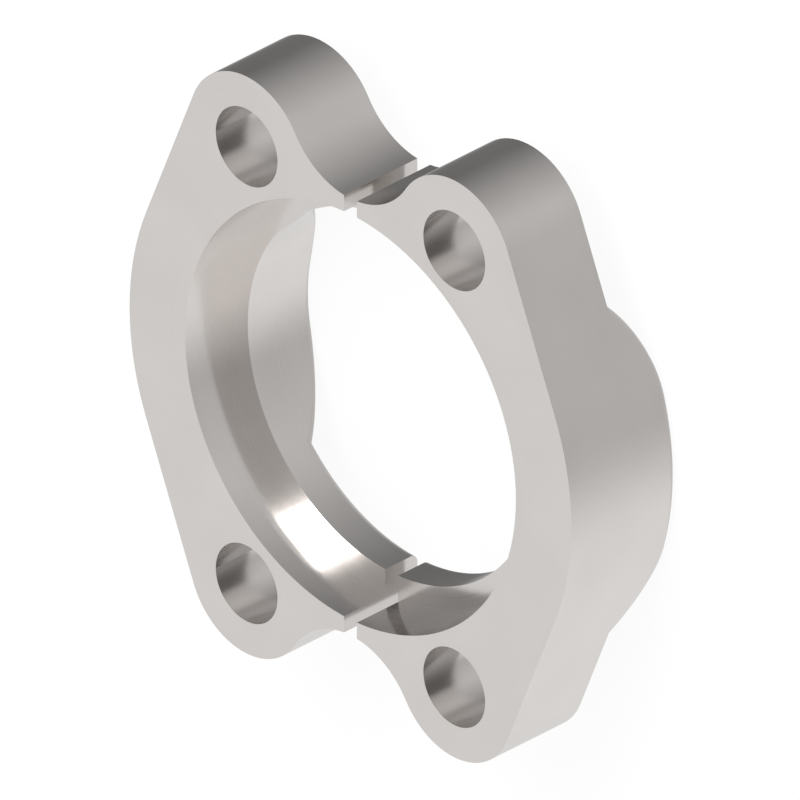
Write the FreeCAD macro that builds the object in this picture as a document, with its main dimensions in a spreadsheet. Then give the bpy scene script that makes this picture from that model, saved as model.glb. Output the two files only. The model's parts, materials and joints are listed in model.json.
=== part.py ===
"""Split flange clamp for a flanged hose or tube head: two equal halves round one bore.

The clamp lies on the back of its hubs with the mating face up. X crosses the split, Y runs
along the two bolts of one half, and Z is the axis of the bore. Sizes are in millimetres.
"""
import FreeCAD
import Part
import Sketcher
import math
import os

# Driving dimensions. Every size that can be set by itself is written here once.
SIZES = {
    "bolt_span_long": 77.8,
    "bolt_span_short": 45.3,
    "bolt_hole_diameter": 13.5,
    "lobe_radius": 12.5,
    "head_diameter": 71.4,
    "head_clearance": 0.8,
    "recess_depth": 9.0,
    "shoulder_width": 4.7,
    "rim_wall": 12.1,
    "pad_thickness": 16.0,
    "hub_rise": 7.0,
    "hub_end_radius": 25.4,
    "hub_end_angle": 30.4,
    "bolt_head_room": 16.0,
    "edge_rounding": 1.5,
    "split_gap": 2.8,
}

# Sizes that follow from the driving dimensions. The valley between two lobes is as deep as
# the line through the bolt holes, and its arc runs smoothly into both lobes.
FORMULAS = {
    "hole_x": "bolt_span_short / 2",
    "hole_y": "bolt_span_long / 2",
    "hole_radius": "bolt_hole_diameter / 2",
    "recess_radius": "(head_diameter + head_clearance) / 2",
    "neck_radius": "recess_radius - shoulder_width",
    "rim_radius": "recess_radius + rim_wall",
    "thickness": "pad_thickness + hub_rise",
    "split_face_x": "split_gap / 2",
    "valley_radius": "(hole_x * hole_x - lobe_radius * lobe_radius) / (2 * lobe_radius)",
    "cut_width": "2 * lobe_radius",
}

# Each half's name, and how far it is turned about the bore, in degrees.
HALVES = {"flange_half_right": 0, "flange_half_left": 180}

# The sketcher's own numbers for a sketch's origin and axes and for the points of an edge.
ORIGIN = (-1, 1)
X_AXIS, Y_AXIS = range(-1, -3, -1)
START, END, CENTRE = range(1, 4)

QUARTER_TURN = math.pi / 2
NEAR = 0.001


def make_sheet(doc):
    """Write the driving dimensions and the formulas into one spreadsheet."""
    sheet = doc.addObject("Spreadsheet::Sheet", "sizes")
    cells = {alias: str(value) for alias, value in SIZES.items()}
    cells |= {alias: f"={formula}" for alias, formula in FORMULAS.items()}
    for row, (alias, content) in enumerate(cells.items(), start=1):
        sheet.set(f"A{row}", alias)
        sheet.set(f"B{row}", content)
        sheet.setAlias(f"B{row}", alias)
    doc.recompute()
    return sheet


def origin_plane(body, role):
    return next(plane for plane in body.Origin.OriginFeatures if plane.Role == role)


def add_feature(body, kind, name):
    return body.newObject(kind, f"{body.Name}_{name}")


def add_sketch(body, name, role):
    sketch = add_feature(body, "Sketcher::SketchObject", name)
    sketch.AttachmentSupport = [(origin_plane(body, role), "")]
    sketch.MapMode = "FlatFace"
    return sketch


def add_mirror(body, name, originals):
    """Repeat features on the other side of the plane that crosses the half in its middle."""
    mirror = add_feature(body, "PartDesign::Mirrored", name)
    mirror.Originals = originals
    mirror.MirrorPlane = (origin_plane(body, "XZ_Plane"), [""])
    body.Tip = mirror
    return mirror


def add_line(sketch, start, end):
    return sketch.addGeometry(Part.LineSegment(FreeCAD.Vector(*start), FreeCAD.Vector(*end)), False)


def add_circle(sketch, centre, radius):
    circle = Part.Circle(FreeCAD.Vector(*centre), FreeCAD.Vector(0, 0, 1), radius)
    return sketch.addGeometry(circle, False)


def add_arc(sketch, centre, radius, start_angle, end_angle):
    """Draw an arc anticlockwise from one angle to the other, in radians."""
    circle = Part.Circle(FreeCAD.Vector(*centre), FreeCAD.Vector(0, 0, 1), radius)
    return sketch.addGeometry(Part.ArcOfCircle(circle, start_angle, end_angle), False)


def relate(sketch, *terms):
    sketch.addConstraint(Sketcher.Constraint(*terms))


def measure(sketch, sheet, alias, *terms):
    """Give a constraint the value of one cell of the sheet."""
    index = sketch.addConstraint(Sketcher.Constraint(*terms, getattr(sheet, alias)))
    sketch.setExpression(f"Constraints[{index}]", f"{sheet.Name}.{alias}")


def draw_outline(sketch, sheet):
    """Draw one end of the half, from the middle of its rim round the lobe to the split face."""
    rim, neck, lobe = sheet.rim_radius, sheet.neck_radius, sheet.lobe_radius
    hole_x, hole_y = sheet.hole_x, sheet.hole_y
    valley, split_x = sheet.valley_radius, sheet.split_face_x
    hole_distance = math.hypot(hole_x, hole_y)
    flank_angle = math.atan2(hole_y, hole_x) - math.acos((rim - lobe) / hole_distance)
    cosine, sine = math.cos(flank_angle), math.sin(flank_angle)
    valley_y = hole_y + valley
    valley_end_angle = -math.atan2(valley, hole_x)
    valley_start_angle = math.asin(split_x / valley) - QUARTER_TURN
    neck_end_angle = math.acos(split_x / neck)
    valley_floor = (split_x, valley_y + valley * math.sin(valley_start_angle))
    neck_corner = (split_x, neck * math.sin(neck_end_angle))
    lobe_corner = (hole_x + lobe * cosine, hole_y + lobe * sine)

    middle_line = add_line(sketch, (neck, 0), (rim, 0))
    rim_arc = add_arc(sketch, (0, 0), rim, 0, flank_angle)
    flank_line = add_line(sketch, (rim * cosine, rim * sine), lobe_corner)
    lobe_arc = add_arc(sketch, (hole_x, hole_y), lobe, flank_angle, math.pi + valley_end_angle)
    valley_arc = add_arc(sketch, (0, valley_y), valley, valley_start_angle, valley_end_angle)
    split_line = add_line(sketch, valley_floor, neck_corner)
    neck_arc = add_arc(sketch, (0, 0), neck, 0, neck_end_angle)

    relate(sketch, "Coincident", middle_line, END, rim_arc, START)
    relate(sketch, "Tangent", rim_arc, END, flank_line, START)
    relate(sketch, "Tangent", flank_line, END, lobe_arc, START)
    relate(sketch, "Tangent", lobe_arc, END, valley_arc, END)
    relate(sketch, "Coincident", valley_arc, START, split_line, START)
    relate(sketch, "Coincident", split_line, END, neck_arc, END)
    relate(sketch, "Coincident", neck_arc, START, middle_line, START)
    relate(sketch, "PointOnObject", rim_arc, START, X_AXIS)
    relate(sketch, "PointOnObject", neck_arc, START, X_AXIS)
    relate(sketch, "PointOnObject", valley_arc, CENTRE, Y_AXIS)
    relate(sketch, "Coincident", rim_arc, CENTRE, *ORIGIN)
    relate(sketch, "Coincident", neck_arc, CENTRE, *ORIGIN)
    relate(sketch, "Vertical", split_line)
    measure(sketch, sheet, "rim_radius", "Radius", rim_arc)
    measure(sketch, sheet, "neck_radius", "Radius", neck_arc)
    measure(sketch, sheet, "lobe_radius", "Radius", lobe_arc)
    measure(sketch, sheet, "valley_radius", "Radius", valley_arc)
    measure(sketch, sheet, "hole_x", "DistanceX", *ORIGIN, lobe_arc, CENTRE)
    measure(sketch, sheet, "hole_y", "DistanceY", *ORIGIN, lobe_arc, CENTRE)
    measure(sketch, sheet, "split_face_x", "DistanceX", *ORIGIN, split_line, END)


def draw_hub_end(sketch, sheet):
    """Draw the cut that lowers the hub to the pad, with the bolt hole's axis at the origin.

    The cut curves down from the hub's flat back in one arc and stops short of the bolt head.
    """
    rise, radius, room = sheet.hub_rise, sheet.hub_end_radius, sheet.bolt_head_room
    crest_x = -room - math.sqrt(radius ** 2 - (radius - rise) ** 2)
    foot_angle = math.atan2(rise - radius, -room - crest_x)

    curve = add_arc(sketch, (crest_x, radius), radius, -QUARTER_TURN, foot_angle)
    back_line = add_line(sketch, (crest_x, 0), (sheet.cut_width, 0))
    end_line = add_line(sketch, (sheet.cut_width, 0), (sheet.cut_width, rise))
    pad_line = add_line(sketch, (sheet.cut_width, rise), (-room, rise))

    relate(sketch, "Tangent", curve, START, back_line, START)
    relate(sketch, "Coincident", back_line, END, end_line, START)
    relate(sketch, "Coincident", end_line, END, pad_line, START)
    relate(sketch, "Coincident", pad_line, END, curve, END)
    relate(sketch, "PointOnObject", back_line, END, X_AXIS)
    relate(sketch, "Horizontal", back_line)
    relate(sketch, "Vertical", end_line)
    relate(sketch, "Horizontal", pad_line)
    measure(sketch, sheet, "hub_end_radius", "Radius", curve)
    measure(sketch, sheet, "hub_rise", "DistanceY", *ORIGIN, pad_line, END)
    measure(sketch, sheet, "bolt_head_room", "DistanceX", pad_line, END, *ORIGIN)
    measure(sketch, sheet, "cut_width", "DistanceX", *ORIGIN, back_line, END)


def add_blank(body, sheet):
    """Extrude one end of the half to the full thickness, and mirror it to make the other end."""
    outline = add_sketch(body, "outline", "XY_Plane")
    draw_outline(outline, sheet)
    blank = add_feature(body, "PartDesign::Pad", "blank")
    blank.Profile = outline
    blank.setExpression("Length", "sizes.thickness")
    add_mirror(body, "whole_blank", [blank])


def add_recess(body, sheet):
    """Sink the seat for the flanged head into the mating face."""
    sketch = add_sketch(body, "recess_circle", "XY_Plane")
    sketch.setExpression("AttachmentOffset.Base.z", "sizes.thickness")
    circle = add_circle(sketch, (0, 0), sheet.recess_radius)
    relate(sketch, "Coincident", circle, CENTRE, *ORIGIN)
    measure(sketch, sheet, "recess_radius", "Radius", circle)
    recess = add_feature(body, "PartDesign::Pocket", "recess")
    recess.Profile = sketch
    recess.setExpression("Length", "sizes.recess_depth")


def add_hub_end(body, sheet):
    """Cut the hub down to the bolt pad, on a sketch turned by the angle of the hub's end."""
    sketch = add_sketch(body, "hub_end_profile", "YZ_Plane")
    turn = FreeCAD.Rotation(FreeCAD.Vector(0, 1, 0), sheet.hub_end_angle)
    sketch.AttachmentOffset = FreeCAD.Placement(FreeCAD.Vector(), turn)
    sketch.setExpression("AttachmentOffset.Rotation.Angle", "sizes.hub_end_angle")
    sketch.setExpression("AttachmentOffset.Base.x", "sizes.hole_y")
    sketch.setExpression("AttachmentOffset.Base.z", "sizes.hole_x")
    draw_hub_end(sketch, sheet)
    return add_through_cut(body, "hub_end", sketch)


def add_bolt_hole(body, sheet):
    sketch = add_sketch(body, "hole_circle", "XY_Plane")
    circle = add_circle(sketch, (sheet.hole_x, sheet.hole_y), sheet.hole_radius)
    measure(sketch, sheet, "hole_radius", "Radius", circle)
    measure(sketch, sheet, "hole_x", "DistanceX", *ORIGIN, circle, CENTRE)
    measure(sketch, sheet, "hole_y", "DistanceY", *ORIGIN, circle, CENTRE)
    return add_through_cut(body, "hole", sketch)


def add_through_cut(body, name, sketch):
    cut = add_feature(body, "PartDesign::Pocket", name)
    cut.Profile = sketch
    cut.SideType = "Symmetric"
    cut.Type = "ThroughAll"
    return cut


def is_upright(face):
    """Tell whether a face stands along the axis of the bore."""
    u_first, u_last, v_first, v_last = face.ParameterRange
    return abs(face.normalAt((u_first + u_last) / 2, (v_first + v_last) / 2).z) < NEAR


def edges_to_round(shape, sheet):
    """Name the edges of the back that are rounded: all round the hub, and along the neck bore."""
    wall_edges = [edge for face in shape.Faces if is_upright(face) for edge in face.Edges]
    names = []
    for number, edge in enumerate(shape.Edges, start=1):
        middle_parameter = sum(edge.ParameterRange) / 2
        middle = edge.valueAt(middle_parameter)
        is_level = abs(edge.tangentAt(middle_parameter).z) < 1 - NEAR
        on_neck = abs(math.hypot(middle.x, middle.y) - sheet.neck_radius) < NEAR
        limit = sheet.hub_rise + NEAR if on_neck else sheet.hub_rise - NEAR
        on_wall = any(edge.isSame(wall_edge) for wall_edge in wall_edges)
        if is_level and on_wall and middle.z < limit:
            names.append(f"Edge{number}")
    return names


def add_rounding(body, sheet):
    rounded = body.Tip
    rounding = add_feature(body, "PartDesign::Fillet", "rounding")
    rounding.Base = (rounded, edges_to_round(rounded.Shape, sheet))
    rounding.setExpression("Radius", "sizes.edge_rounding")


def build_half(doc, sheet, name, turn):
    """Build one half. The two halves are the same piece, set half a turn apart."""
    body = doc.addObject("PartDesign::Body", name)
    body.Label = name
    add_blank(body, sheet)
    add_recess(body, sheet)
    add_mirror(body, "both_ends", [add_hub_end(body, sheet), add_bolt_hole(body, sheet)])
    doc.recompute()
    add_rounding(body, sheet)
    body.Placement = FreeCAD.Placement(
        FreeCAD.Vector(), FreeCAD.Rotation(FreeCAD.Vector(0, 0, 1), turn))
    return body


def check_document(doc):
    """Stop if a feature failed, a sketch is loose or a cut takes nothing away."""
    for item in doc.Objects:
        if "Invalid" in item.State or "Error" in item.State:
            raise RuntimeError(f"{item.Name} failed")
        if item.TypeId == "Sketcher::SketchObject" and not item.FullyConstrained:
            raise RuntimeError(f"{item.Name} is not fully constrained")
        if item.TypeId == "PartDesign::Pocket" and item.Shape.Volume >= item.BaseFeature.Shape.Volume:
            raise RuntimeError(f"{item.Name} cuts nothing")


def check_half(half):
    if half.Shape.isNull() or not half.Shape.isValid() or len(half.Shape.Solids) != 1:
        raise RuntimeError(f"{half.Label} is not one valid solid")


doc = FreeCAD.newDocument("split_flange_clamp")
sheet = make_sheet(doc)
halves = [build_half(doc, sheet, name, turn) for name, turn in HALVES.items()]
doc.recompute()
check_document(doc)
for half in halves:
    check_half(half)

os.makedirs("parts", exist_ok=True)
for half in halves:
    half.Shape.exportStep(f"parts/{half.Label}.step")
    print(half.Label, round(half.Shape.Volume, 1), "cubic millimetres")
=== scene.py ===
"""Looks of the split flange clamp pair: satin steel on a plain pale floor, in soft studio light.

Lengths are in metres, in the clamp's own frame: X crosses the split, Y runs along the two bolts
of one half, and Z is the axis of the bore. The clamp lies on the back of its hubs, so the floor
is at Z = 0. The picture looks at the mating face from one side, with +Y upwards.
"""

import json
import math

import bmesh
import bpy
from mathutils import Matrix, Vector


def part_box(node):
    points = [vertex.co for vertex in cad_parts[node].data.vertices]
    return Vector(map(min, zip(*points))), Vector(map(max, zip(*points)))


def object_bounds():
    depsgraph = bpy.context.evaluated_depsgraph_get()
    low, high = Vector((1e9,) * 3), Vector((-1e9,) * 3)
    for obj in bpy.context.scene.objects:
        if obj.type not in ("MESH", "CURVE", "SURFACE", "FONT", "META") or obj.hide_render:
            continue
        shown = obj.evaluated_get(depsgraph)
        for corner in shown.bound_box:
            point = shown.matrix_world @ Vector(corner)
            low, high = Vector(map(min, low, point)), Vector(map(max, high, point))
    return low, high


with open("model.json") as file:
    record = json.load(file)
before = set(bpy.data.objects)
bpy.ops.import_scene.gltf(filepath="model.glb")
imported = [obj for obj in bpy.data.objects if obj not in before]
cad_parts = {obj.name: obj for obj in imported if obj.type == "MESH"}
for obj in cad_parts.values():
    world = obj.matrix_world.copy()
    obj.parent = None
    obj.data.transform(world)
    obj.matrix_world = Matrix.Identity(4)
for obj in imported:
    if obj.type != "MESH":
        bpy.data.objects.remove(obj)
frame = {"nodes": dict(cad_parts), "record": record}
cad_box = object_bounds()
mounts = {mount["name"]: mount for mount in frame["record"]["mounts"]}

MM = 0.001

# The picture: how far it is turned about the upright and tilted down, how wide it is, and where
# its middle lies from the point where the bore's axis meets the mating face.
VIEW_TURN = math.radians(45)
VIEW_TILT = math.radians(30)
VIEW_WIDTH = 123.44 * MM
VIEW_SHIFT_RIGHT = 7.646 * MM
VIEW_SHIFT_UP = 2.615 * MM
CAMERA_DISTANCE = 600.0 * MM

# The floor and the wall round it.
FLOOR_RADIUS = 2500.0 * MM
FLOOR_CORNERS = 96
WALL_DEPTH = 1000.0 * MM
WALL_HEIGHT = 1500.0 * MM
PAINT_COLOUR = (0.97, 0.97, 0.97, 1.0)
PAINT_GLOW = 0.92

# The softbox over the upper side of the clamp. A light level of 1 shows a colour as it is written.
SOFTBOX_DIRECTION = Vector((0.045, 0.79, 0.61))
SOFTBOX_DISTANCE = 1000.0 * MM
SOFTBOX_LENGTH = 1000.0 * MM
SOFTBOX_WIDTH = 450.0 * MM
SOFTBOX_LEVEL = 6.5
SPILL_LEVEL = 0.7
SPILL_START, SPILL_END = math.radians(13), math.radians(21)

# The studio's light level by direction. Each end of a ramp is a direction's part along an axis.
LEFT_END, RIGHT_END = -0.66, 0.6
LEFT_LEVEL_BEHIND, LEFT_LEVEL_IN_FRONT = 0.20, 0.60
BEHIND_END, IN_FRONT_END = -0.3, 0.4
RIGHT_LEVEL_DOWN, RIGHT_LEVEL_UP = 0.605, 0.71
RIGHT_DOWN_END, RIGHT_UP_END = -0.2, 0.4
LOW_START_BEHIND, LOW_START_IN_FRONT, LOW_END = -0.15, -0.07, -0.65
LOW_LEFT_END, LOW_RIGHT_END = -0.6, 0.1
LOW_LEFT_LEVEL, LOW_RIGHT_LEVEL = 0.79, 1.0
LOW_FRONT_GAIN = 1.31
FAR_LEFT_START, FAR_LEFT_END = -0.64, -0.76
FAR_LEFT_GAIN_IN_FRONT = 0.72
BACK_START, BACK_END = -0.7, -0.95
BACK_LEVEL = 0.68

# The steel.
STEEL_COLOUR = (0.64, 0.615, 0.597)
CUT_ROUGHNESS = 0.165
FORGED_ROUGHNESS = 0.21
ROUGHNESS_SPREAD = 0.03
TEXTURE_SHARE_OF_SPREAD = 0.5
CLOUD_SIZE = 14.0 * MM
CLOUD_DARKEST, CLOUD_LIGHTEST = 0.975, 1.025
GRAIN_SIZE = 0.35 * MM
GRAIN_DETAIL = 2.0
GRAIN_HEIGHT = 0.0020 * MM
TOOL_PITCH = 0.55 * MM
TOOL_MARK_DETAIL = 1.0
TOOL_MARK_HEIGHT = 0.0020 * MM
TEXTURE_DARKEST, TEXTURE_LIGHTEST = 0.992, 1.008
NOISE_LOW, NOISE_HIGH = 0.3, 0.7
SURFACE_TOLERANCE = 0.05 * MM

# The bolt holes mirror light many times over before it leaves them. A film of oil in them keeps
# more of the light that grazes their walls.
MIRRORINGS = 12
OIL_ROUGHNESS = 0.165


def add_node(tree, kind, inputs, **settings):
    """Add a node with these settings. An input takes a plain value or another node's output."""
    node = tree.nodes.new(kind)
    for name, setting in settings.items():
        setattr(node, name, setting)
    for socket, value in inputs.items():
        if isinstance(value, bpy.types.NodeSocket):
            tree.links.new(value, node.inputs[socket])
        else:
            node.inputs[socket].default_value = value
    return node


def add_math(tree, operation, first, second=0.0):
    return add_node(tree, "ShaderNodeMath", {0: first, 1: second}, operation=operation).outputs["Value"]


def add_ramp(tree, value, start, end, low=0.0, high=1.0, curve="LINEAR"):
    """Turn a value between start and end into one between low and high."""
    levels = {"Value": value, "From Min": start, "From Max": end, "To Min": low, "To Max": high}
    return add_node(tree, "ShaderNodeMapRange", levels, interpolation_type=curve).outputs["Result"]


def add_mix(tree, share, first, second):
    return add_node(tree, "ShaderNodeMix", {"Factor": share, "A": first, "B": second}).outputs["Result"]


def add_separate(tree, vector):
    parts = add_node(tree, "ShaderNodeSeparateXYZ", {"Vector": vector}).outputs
    return parts["X"], parts["Y"], parts["Z"]


def add_length(tree, x, y):
    """The distance between a point across the bore's axis and the point where x and y are 0."""
    place = add_node(tree, "ShaderNodeCombineXYZ", {"X": x, "Y": y}).outputs["Vector"]
    return add_node(tree, "ShaderNodeVectorMath", {0: place}, operation="LENGTH").outputs["Value"]


def add_offset(tree, value, middle):
    """How far a value without its sign lies past a middle."""
    return add_math(tree, "SUBTRACT", add_math(tree, "ABSOLUTE", value), middle)


def new_material(name):
    material = bpy.data.materials.new(name)
    material.use_nodes = True
    return material, material.node_tree, material.node_tree.nodes["Principled BSDF"]


def new_group(name, inputs, outputs):
    """Start a group of shader nodes with these inputs and outputs, each a name and a kind."""
    group = bpy.data.node_groups.new(name, "ShaderNodeTree")
    for socket, kind in inputs.items():
        group.interface.new_socket(socket, in_out="INPUT", socket_type=kind)
    for socket, kind in outputs.items():
        group.interface.new_socket(socket, in_out="OUTPUT", socket_type=kind)
    given = add_node(group, "NodeGroupInput", {}).outputs
    return group, given


def add_group(tree, group, inputs):
    return add_node(tree, "ShaderNodeGroup", inputs, node_tree=group).outputs


def grain_group():
    """Small uneven grain of a given size, from 0 to 1."""
    group, given = new_group(
        "grain",
        {"Position": "NodeSocketVector", "Size": "NodeSocketFloat"},
        {"Height": "NodeSocketFloat"})
    fineness = add_math(group, "DIVIDE", 1.0, given["Size"])
    scaled = add_node(
        group, "ShaderNodeVectorMath", {0: given["Position"], "Scale": fineness}, operation="SCALE")
    noise = add_node(group, "ShaderNodeTexNoise", {
        "Vector": scaled.outputs["Vector"], "Scale": 1.0, "Detail": GRAIN_DETAIL})
    add_node(group, "NodeGroupOutput", {"Height": noise.outputs["Fac"]})
    return group


def tool_mark_group():
    """Uneven lines that a cutting tool leaves across its feed, from 0 to 1."""
    group, given = new_group(
        "tool_marks",
        {"Feed": "NodeSocketFloat", "Pitch": "NodeSocketFloat"},
        {"Height": "NodeSocketFloat"})
    turns = add_math(group, "DIVIDE", given["Feed"], given["Pitch"])
    noise = add_node(
        group, "ShaderNodeTexNoise", {"W": turns, "Scale": 1.0, "Detail": TOOL_MARK_DETAIL},
        noise_dimensions="1D")
    add_node(group, "NodeGroupOutput", {"Height": noise.outputs["Fac"]})
    return group


def add_cut_masks(tree, x, y, z, radius):
    """Mark what is turned (mating face, recess, neck bore), all that is cut, and the bolt holes."""
    holes = mounts["bolt_holes"]["dims"]
    from_hole_x = add_offset(tree, x, holes["spacing_x_mm"] / 2 * MM)
    from_hole_y = add_offset(tree, y, holes["spacing_y_mm"] / 2 * MM)
    hole_distance = add_length(tree, from_hole_x, from_hole_y)
    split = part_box("flange_half_right")[0].x
    recess_radius = mounts["head_recess"]["dims"]["r_mm"] * MM
    on_face = add_math(tree, "GREATER_THAN", z, cad_box[1].z - SURFACE_TOLERANCE)
    in_recess = add_math(tree, "LESS_THAN", radius, recess_radius + SURFACE_TOLERANCE)
    in_hole = add_math(tree, "LESS_THAN", hole_distance, holes["hole_r_mm"] * MM + SURFACE_TOLERANCE)
    on_split = add_math(tree, "LESS_THAN", add_math(tree, "ABSOLUTE", x), split + SURFACE_TOLERANCE)
    turned = add_math(tree, "MAXIMUM", on_face, in_recess)
    cut = add_math(tree, "MAXIMUM", turned, add_math(tree, "MAXIMUM", in_hole, on_split))
    return turned, cut, in_hole


def satin_steel():
    """Plain steel, smoother where it is cut, with fine lines where it is turned and a grain elsewhere."""
    material, tree, shader = new_material("satin_steel")
    place = add_node(tree, "ShaderNodeTexCoord", {}).outputs
    x, y, z = add_separate(tree, place["Object"])
    level = add_math(tree, "ABSOLUTE", add_separate(tree, place["Normal"])[2])
    radius = add_length(tree, x, y)
    turned, cut, in_hole = add_cut_masks(tree, x, y, z, radius)

    grain = grain_group()
    fine = add_group(tree, grain, {"Position": place["Object"], "Size": GRAIN_SIZE})["Height"]
    cloud = add_group(tree, grain, {"Position": place["Object"], "Size": CLOUD_SIZE})["Height"]
    feed = add_mix(tree, level, z, radius)
    lines = add_group(tree, tool_mark_group(), {"Feed": feed, "Pitch": TOOL_PITCH})["Height"]
    texture = add_mix(tree, turned, fine, lines)

    tone = add_math(
        tree, "MULTIPLY",
        add_ramp(tree, cloud, NOISE_LOW, NOISE_HIGH, CLOUD_DARKEST, CLOUD_LIGHTEST),
        add_ramp(tree, texture, NOISE_LOW, NOISE_HIGH, TEXTURE_DARKEST, TEXTURE_LIGHTEST))
    colour = add_node(tree, "ShaderNodeVectorMath", {0: STEEL_COLOUR, "Scale": tone}, operation="SCALE")
    tree.links.new(colour.outputs["Vector"], shader.inputs["Base Color"])

    finish = add_mix(tree, cut, FORGED_ROUGHNESS, CUT_ROUGHNESS)
    unevenness = add_ramp(
        tree, add_mix(tree, TEXTURE_SHARE_OF_SPREAD, cloud, texture),
        NOISE_LOW, NOISE_HIGH, -ROUGHNESS_SPREAD, ROUGHNESS_SPREAD)
    tree.links.new(add_math(tree, "ADD", finish, unevenness), shader.inputs["Roughness"])

    height = add_mix(
        tree, turned,
        add_math(tree, "MULTIPLY", fine, GRAIN_HEIGHT),
        add_math(tree, "MULTIPLY", lines, TOOL_MARK_HEIGHT))
    bump = add_node(tree, "ShaderNodeBump", {"Strength": 1.0, "Distance": 1.0, "Height": height})
    tree.links.new(bump.outputs["Normal"], shader.inputs["Normal"])
    shader.inputs["Metallic"].default_value = 1.0
    tree.links.new(in_hole, shader.inputs["Coat Weight"])
    shader.inputs["Coat Roughness"].default_value = OIL_ROUGHNESS
    return material


def pale_paint():
    """Paint that looks white and still takes a little of the clamp's shadow."""
    material, tree, shader = new_material("pale_paint")
    shader.inputs["Base Color"].default_value = PAINT_COLOUR
    shader.inputs["Roughness"].default_value = 1.0
    shader.inputs["Specular IOR Level"].default_value = 0.0
    rays = add_node(tree, "ShaderNodeLightPath", {}).outputs
    seen = add_math(tree, "MAXIMUM", rays["Is Camera Ray"], rays["Is Glossy Ray"])
    seen = add_math(tree, "MAXIMUM", seen, rays["Is Transmission Ray"])
    white = add_node(tree, "ShaderNodeEmission", {"Strength": 1.0})
    mix = add_node(tree, "ShaderNodeMixShader", {
        "Fac": add_math(tree, "MULTIPLY", seen, PAINT_GLOW),
        1: shader.outputs["BSDF"],
        2: white.outputs["Emission"]})
    tree.links.new(mix.outputs["Shader"], tree.nodes["Material Output"].inputs["Surface"])
    return material


def add_stage_piece(name, builder, material):
    """Make a piece of the studio. The steel mirrors the studio's light and not this piece."""
    mesh = bpy.data.meshes.new(name)
    builder.to_mesh(mesh)
    builder.free()
    mesh.materials.append(material)
    piece = bpy.data.objects.new(name, mesh)
    piece.visible_glossy = False
    piece.visible_shadow = False
    bpy.context.scene.collection.objects.link(piece)
    return piece


def add_floor(material):
    builder = bmesh.new()
    bmesh.ops.create_circle(builder, cap_ends=True, segments=FLOOR_CORNERS, radius=FLOOR_RADIUS)
    add_stage_piece("floor", builder, material)


def add_wall(material):
    """Stand a plain wall round the floor, for the views that look across it."""
    builder = bmesh.new()
    bmesh.ops.create_circle(builder, segments=FLOOR_CORNERS, radius=FLOOR_RADIUS)
    bmesh.ops.translate(builder, vec=(0, 0, -WALL_DEPTH), verts=builder.verts[:])
    raised = bmesh.ops.extrude_edge_only(builder, edges=builder.edges[:])["geom"]
    top = [item for item in raised if isinstance(item, bmesh.types.BMVert)]
    bmesh.ops.translate(builder, vec=(0, 0, WALL_DEPTH + WALL_HEIGHT), verts=top)
    wall = add_stage_piece("wall", builder, material)
    wall.visible_diffuse = False


def add_softbox():
    lamp = bpy.data.lights.new("softbox", "AREA")
    lamp.shape = "RECTANGLE"
    lamp.size, lamp.size_y = SOFTBOX_LENGTH, SOFTBOX_WIDTH
    lamp.energy = SOFTBOX_LEVEL * math.pi * SOFTBOX_LENGTH * SOFTBOX_WIDTH
    softbox = bpy.data.objects.new("softbox", lamp)
    direction = SOFTBOX_DIRECTION.normalized()
    softbox.location = direction * SOFTBOX_DISTANCE
    softbox.rotation_euler = (-direction).to_track_quat("-Z", "X").to_euler()
    softbox.visible_camera = False
    bpy.context.scene.collection.objects.link(softbox)


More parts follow.
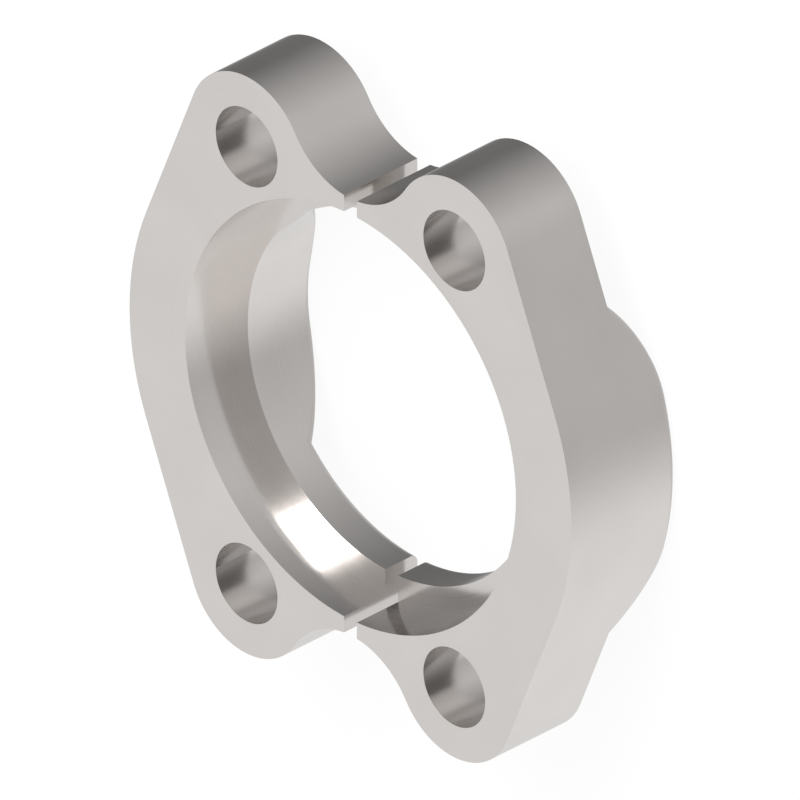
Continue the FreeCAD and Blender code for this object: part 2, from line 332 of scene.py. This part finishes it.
def add_studio():
    """Surround the clamp with soft light, bright below in the picture and duller to the left."""
    world = bpy.data.worlds.new("studio")
    world.use_nodes = True
    tree = world.node_tree
    direction = add_node(tree, "ShaderNodeTexCoord", {}).outputs["Generated"]
    x, y, z = add_separate(tree, direction)

    left = add_ramp(tree, z, BEHIND_END, IN_FRONT_END, LEFT_LEVEL_BEHIND, LEFT_LEVEL_IN_FRONT)
    right = add_ramp(tree, y, RIGHT_DOWN_END, RIGHT_UP_END, RIGHT_LEVEL_DOWN, RIGHT_LEVEL_UP)
    sides = add_mix(tree, add_ramp(tree, x, LEFT_END, RIGHT_END), left, right)
    low_sides = add_ramp(tree, x, LOW_LEFT_END, LOW_RIGHT_END, LOW_LEFT_LEVEL, LOW_RIGHT_LEVEL)
    low_gain = add_ramp(tree, z, BEHIND_END, IN_FRONT_END, 1.0, LOW_FRONT_GAIN)
    low = add_math(tree, "MULTIPLY", low_sides, low_gain)
    low_start = add_ramp(tree, z, BEHIND_END, IN_FRONT_END, LOW_START_BEHIND, LOW_START_IN_FRONT)
    lowness = add_ramp(tree, y, low_start, LOW_END, curve="SMOOTHSTEP")
    far_left = add_ramp(tree, x, FAR_LEFT_START, FAR_LEFT_END)
    far_left_gain = add_ramp(tree, z, 0.0, IN_FRONT_END, 1.0, FAR_LEFT_GAIN_IN_FRONT)
    gain = add_mix(tree, far_left, 1.0, far_left_gain)
    backness = add_ramp(tree, z, BACK_START, BACK_END, curve="SMOOTHSTEP")
    around = add_math(tree, "MULTIPLY", add_mix(tree, lowness, sides, low), gain)
    level = add_mix(tree, backness, around, BACK_LEVEL)

    nearness = add_node(
        tree, "ShaderNodeVectorMath", {0: direction, 1: SOFTBOX_DIRECTION.normalized()},
        operation="DOT_PRODUCT").outputs["Value"]
    spill = add_ramp(
        tree, nearness, math.cos(SPILL_END), math.cos(SPILL_START), high=SPILL_LEVEL,
        curve="SMOOTHSTEP")
    background = tree.nodes["Background"]
    background.inputs["Color"].default_value = (1.0, 1.0, 1.0, 1.0)
    tree.links.new(add_math(tree, "ADD", level, spill), background.inputs["Strength"])
    bpy.context.scene.world = world


def add_camera():
    """Look at the clamp without perspective."""
    right = Vector((math.cos(VIEW_TURN), 0.0, -math.sin(VIEW_TURN)))
    towards = Vector((math.sin(VIEW_TURN), 0.0, math.cos(VIEW_TURN)))
    upright = Vector((0.0, 1.0, 0.0))
    up = upright * math.cos(VIEW_TILT) - towards * math.sin(VIEW_TILT)
    back = upright * math.sin(VIEW_TILT) + towards * math.cos(VIEW_TILT)
    middle = Vector((0.0, 0.0, cad_box[1].z)) + right * VIEW_SHIFT_RIGHT + up * VIEW_SHIFT_UP
    lens = bpy.data.cameras.new("camera")
    lens.type = "ORTHO"
    lens.ortho_scale = VIEW_WIDTH
    camera = bpy.data.objects.new("camera", lens)
    turn = Matrix((right, up, back)).transposed().to_4x4()
    camera.matrix_world = Matrix.Translation(middle + back * CAMERA_DISTANCE) @ turn
    bpy.context.scene.collection.objects.link(camera)
    bpy.context.scene.camera = camera


steel = satin_steel()
for half in frame["nodes"].values():
    half.data.materials.clear()
    half.data.materials.append(steel)

paint = pale_paint()
add_floor(paint)
add_wall(paint)
add_softbox()
add_studio()
add_camera()
bpy.context.scene.view_settings.view_transform = "Standard"
bpy.context.scene.cycles.glossy_bounces = MIRRORINGS
